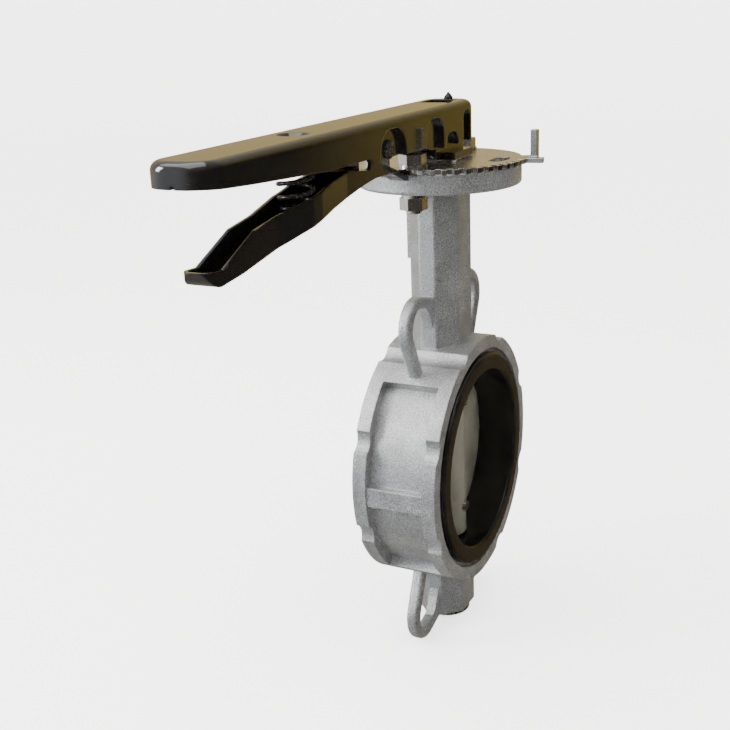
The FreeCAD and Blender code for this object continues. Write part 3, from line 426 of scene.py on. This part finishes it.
def add_tube(mesh, path, radius, sides=14):
    """Sweep a round wire along a path and close each end with a low cone."""
    turns = [2 * math.pi * k / sides for k in range(sides)]
    rings = []
    for i, point in enumerate(path):
        ahead = (path[min(i + 1, len(path) - 1)] - path[max(i - 1, 0)]).normalized()
        across = ahead.cross(Vector((0, 0, 1))).normalized()
        above = across.cross(ahead)
        rings.append([mesh.verts.new(point + (across * math.cos(t) + above * math.sin(t)) * radius)
                      for t in turns])
    bridge(mesh, rings)
    for ring, end, before in ((rings[0], path[0], path[1]), (rings[-1], path[-1], path[-2])):
        tip = mesh.verts.new(end + (end - before).normalized() * radius * 0.5)
        for k in range(sides):
            mesh.faces.new((ring[k], ring[(k + 1) % sides], tip))
    bmesh.ops.recalc_face_normals(mesh, faces=mesh.faces)


def helix(centre, radius, heights):
    """Points round an upright axis; each turn climbs from one of the heights to the next."""
    steps = 40
    points = []
    for turn, (low, high) in enumerate(zip(heights, heights[1:])):
        for k in range(steps):
            angle = 2 * math.pi * (turn + k / steps)
            x = centre[0] + radius * math.cos(angle)
            y = centre[1] + radius * math.sin(angle)
            points.append(Vector((x, y, low + (high - low) * k / steps)))
    return points


def add_return_spring():
    """A compression spring with one turn wound close at each end."""
    low, high = 171.25 * MM, 199.65 * MM
    close_pitch, open_turns = 2.2 * MM, 4
    open_pitch = (high - low - 2 * close_pitch) / open_turns
    heights = [low] + [low + close_pitch + open_pitch * k for k in range(open_turns + 1)] + [high]
    mesh = bmesh.new()
    add_tube(mesh, helix((0, SPRING_Y), SPRING_RADIUS, heights), SPRING_WIRE)
    spring = finish_piece("coil_spring", mesh, "black_steel", "stem_and_lever")
    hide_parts("return_spring")
    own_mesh(spring)


def add_bolt_threads():
    """Two turns of thread on the end of each bolt."""
    first, thread_radius, ridge = 149.35 * MM, 3.86 * MM, 0.3 * MM
    mesh = bmesh.new()
    for side in (-1, 1):
        heights = [first + THREAD_PITCH * k for k in range(3)]
        add_tube(mesh, helix((0, side * BOLT_Y), thread_radius, heights), ridge, sides=8)
    finish_piece("bolt_threads", mesh, "zinc_steel", "valve")


def add_dash(mesh, y, z, length, slant):
    """A low oval dash on the neck's face, in millimetres, narrowing as it rises."""
    corners, half_wide = 16, 0.75
    along = Vector((0, math.cos(slant), math.sin(slant)))
    across = Vector((0, -math.sin(slant), math.cos(slant)))
    rings = []
    for rise, grow in ((-0.3, 1.0), (0.25, 0.8), (0.4, 0.45)):
        middle = Vector((NECK_FACE_X + rise, y, z))
        ring = []
        for k in range(corners):
            turn = 2 * math.pi * k / corners
            spot = along * math.cos(turn) * length / 2 * grow + across * math.sin(turn) * half_wide * grow
            ring.append(mesh.verts.new((middle + spot) * MM))
        rings.append(ring)
    bridge(mesh, rings)
    mesh.faces.new(rings[-1])
    mesh.faces.new(rings[0][::-1])


def add_neck_marks():
    """Rows of slanted dashes that spell nothing, where the casting carries raised marks."""
    mesh = bmesh.new()
    places = [(y, z) for z in (90, 94.6, 99.2, 103.8, 108.4, 113) for y in (-4.6, -0.4, 3.8)]
    for i, (y, z) in enumerate(places):
        length = 2.6 + (i % 3) * 0.8
        slant = 0.35 * (i * 5 % 7) - 0.9
        add_dash(mesh, y, z, length, slant)
    bmesh.ops.recalc_face_normals(mesh, faces=mesh.faces)
    finish_piece("neck_marks", mesh, "cast_aluminium", "valve")


# ---- floor ----------------------------------------------------------------


FLOOR_GAP = 0.5 * MM
FLOOR_FLAT = 3.0
FLOOR_CURVE = 1.0
FLOOR_WALL = 5.0


def add_floor():
    """A flat round floor whose rim curves up far away on every side."""
    low = cad_box[0][2] - FLOOR_GAP
    curve = [math.radians(a) for a in range(10, 91, 10)]
    profile = [(0.5, 0.0), (FLOOR_FLAT, 0.0)]
    profile += [(FLOOR_FLAT + FLOOR_CURVE * math.sin(a), FLOOR_CURVE * (1 - math.cos(a))) for a in curve]
    profile += [(FLOOR_FLAT + FLOOR_CURVE, FLOOR_WALL)]
    turns = [2 * math.pi * k / 96 for k in range(96)]
    mesh = bmesh.new()
    rings = [[mesh.verts.new((r * math.cos(t), r * math.sin(t), low + z)) for t in turns]
             for r, z in profile]
    mesh.faces.new(rings[0])
    for near, far in zip(rings, rings[1:]):
        for k in range(len(turns)):
            after = (k + 1) % len(turns)
            mesh.faces.new((near[k], far[k], far[after], near[after]))
    data = bpy.data.meshes.new("floor")
    mesh.to_mesh(data)
    mesh.free()
    for face in data.polygons:
        face.use_smooth = True
    floor = bpy.data.objects.new("floor", data)
    floor.data.materials.append(floor_material())
    floor.visible_glossy = False
    bpy.context.scene.collection.objects.link(floor)


add_camera()
add_world()
add_lights()
finishes = paint_frame()
add_return_spring()
add_bolt_threads()
add_neck_marks()
add_floor()
